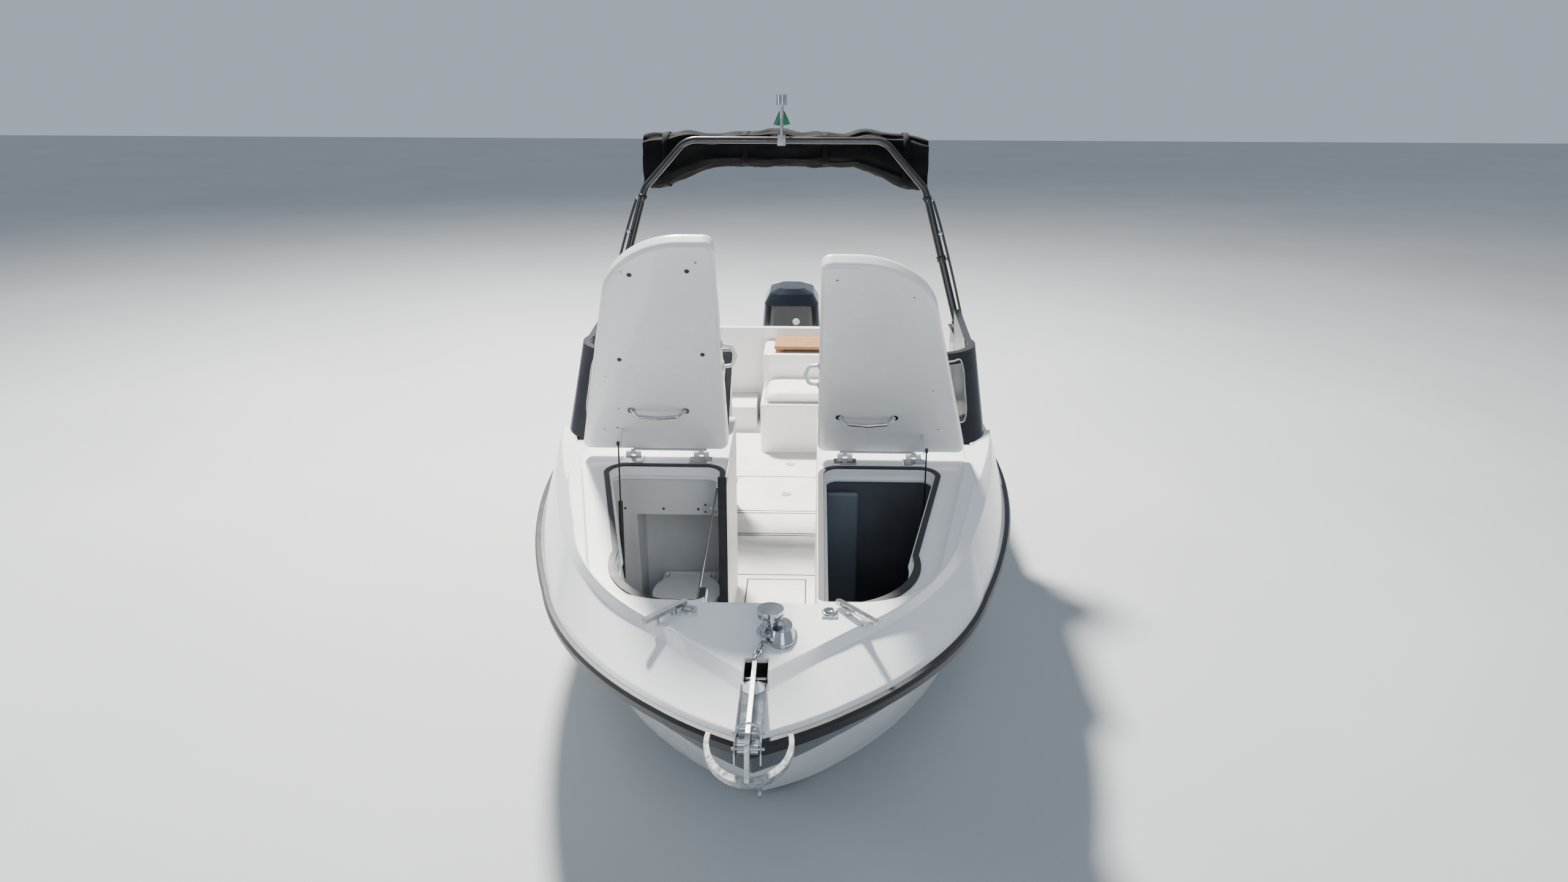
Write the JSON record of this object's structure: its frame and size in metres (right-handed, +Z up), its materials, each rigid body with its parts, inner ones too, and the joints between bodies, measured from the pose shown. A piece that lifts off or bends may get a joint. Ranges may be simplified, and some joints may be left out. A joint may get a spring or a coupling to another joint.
{
  "type": "motorboat",
  "caption": "Open motorboat with a central bow walkway, two hinged bow hatch lids on gas struts, tubular tower and a steerable tilting outboard.",
  "frame": {"origin": "on the waterline amidships, on the centre plane", "axes": "+X to port, -Y to the bow, +Z up"},
  "size_m": [2.5954, 7.401, 3.538],
  "materials": {
    "white_gelcoat": "polished white gelcoat",
    "grey_liner": "light grey gelcoat",
    "black_trim": "satin black moulding",
    "black_rubber": "matt black rubber",
    "stainless": "polished stainless steel",
    "black_tube": "gloss black powder coat",
    "canvas": "black acrylic canvas",
    "cushion_vinyl": "pale grey stitched vinyl",
    "tinted_glass": "dark tinted pane",
    "teak": "oiled teak",
    "motor_paint": "gloss black paint",
    "motor_metal": "cast motor block",
    "motor_casting": "black painted alloy",
    "ceramic_white": "white sanitary plastic",
    "galvanised": "galvanised steel",
    "flag_cloth": "furled cloth"
  },
  "bodies": {
    "hull": {"aft_bench_cushion": "cushion_vinyl", "aft_deck": "white_gelcoat", "aft_module": "white_gelcoat", "anchor": "galvanised", "bow_cleat_port": "stainless", "bow_cleat_starboard": "stainless", "bow_eye": "stainless", "bow_roller": "stainless", "cockpit_liner": "grey_liner", "folded_bimini": "canvas", "foredeck": "white_gelcoat", "furled_flag": "flag_cloth", "helm_dash": "black_trim", "helm_seat_base": "white_gelcoat", "helm_seat_cushion": "cushion_vinyl", "hull_bottom": "white_gelcoat", "hull_transom": "white_gelcoat", "motor_bracket": "motor_casting", "port_compartment": "white_gelcoat", "port_hatch_seal": "black_rubber", "port_topside": "white_gelcoat", "port_windscreen_frame": "black_trim", "port_windscreen_pane": "tinted_glass", "rub_rail": "black_rubber", "starboard_compartment": "white_gelcoat", "starboard_hatch_seal": "black_rubber", "starboard_topside": "white_gelcoat", "starboard_windscreen_frame": "black_trim", "starboard_windscreen_pane": "tinted_glass", "stern_cleat_port": "stainless", "stern_cleat_starboard": "stainless", "stern_light": "stainless", "teak_table": "teak", "toilet": "ceramic_white", "tower": "black_tube", "windlass": "stainless"},
    "starboard_lid": {"starboard_lid": "white_gelcoat", "starboard_grab_handle": "stainless"},
    "port_lid": {"port_lid": "white_gelcoat", "port_grab_handle": "stainless"},
    "starboard_barrel": {"starboard_strut_barrel": "black_trim"},
    "port_barrel": {"port_strut_barrel": "black_trim"},
    "starboard_rod": {"starboard_strut_rod": "stainless"},
    "port_rod": {"port_strut_rod": "stainless"},
    "swivel": {"motor_swivel": "motor_casting"},
    "outboard": {"motor_leg": "motor_casting", "motor_cowl": "motor_paint", "power_head": "motor_metal"},
    "propeller": {"propeller": "stainless"},
    "wheel": {"steering_wheel": "black_trim"},
    "toilet_lid": {"toilet_lid": "ceramic_white"}
  },
  "joints": [
    {"name": "starboard_lid_hinge", "type": "hinge", "parent": "hull", "child": "starboard_lid", "pos_m": [-0.501, -1.19394, 1.35186], "axis": [1, 0, 0], "range_deg": [0, 65]},
    {"name": "starboard_strut_turn", "type": "hinge", "parent": "hull", "child": "starboard_barrel", "pos_m": [-0.752, -1.4, 0.74], "axis": [1, 0, 0], "range_deg": [-4, 4]},
    {"name": "starboard_strut_slide", "type": "slide", "parent": "starboard_barrel", "child": "starboard_rod", "axis": [0, 0.059, 0.9983], "range_m": [-0.2101, 0]},
    {"name": "port_lid_hinge", "type": "hinge", "parent": "hull", "child": "port_lid", "pos_m": [0.501, -1.19394, 1.35186], "axis": [1, 0, 0], "range_deg": [0, 60]},
    {"name": "port_strut_turn", "type": "hinge", "parent": "hull", "child": "port_barrel", "pos_m": [0.752, -1.4, 0.74], "axis": [1, 0, 0], "range_deg": [-4, 4]},
    {"name": "port_strut_slide", "type": "slide", "parent": "port_barrel", "child": "port_rod", "axis": [0, 0.048, 0.9988], "range_m": [-0.195, 0]},
    {"name": "motor_tilt", "type": "hinge", "parent": "hull", "child": "swivel", "pos_m": [0, 3.33, 0.415], "axis": [1, 0, 0], "range_deg": [0, 48]},
    {"name": "motor_steer", "type": "hinge", "parent": "swivel", "child": "outboard", "pos_m": [0, 3.392, 0.3], "axis": [0, 0, 1], "range_deg": [-30, 30]},
    {"name": "propeller_turn", "type": "hinge", "parent": "outboard", "child": "propeller", "pos_m": [0, 3.695, -0.33], "axis": [0, 1, 0], "continuous": true},
    {"name": "wheel_turn", "type": "hinge", "parent": "hull", "child": "wheel", "pos_m": [-0.61, -0.3539, 0.98515], "axis": [0, 0.9063, 0.4226], "range_deg": [-540, 540]},
    {"name": "toilet_lid_hinge", "type": "hinge", "parent": "hull", "child": "toilet_lid", "pos_m": [-0.445, -1.09, 0.62], "axis": [-1, 0, 0], "range_deg": [0, 95]}
  ],
  "couplings": [
    {"joint": "starboard_strut_turn", "follows": "starboard_lid_hinge", "ratio": -0.01854},
    {"joint": "starboard_strut_slide", "follows": "starboard_lid_hinge", "m_per_rad": -0.18436},
    {"joint": "port_strut_turn", "follows": "port_lid_hinge", "ratio": -0.03058},
    {"joint": "port_strut_slide", "follows": "port_lid_hinge", "m_per_rad": -0.1853},
    {"joint": "wheel_turn", "follows": "motor_steer", "ratio": 18}
  ]
}
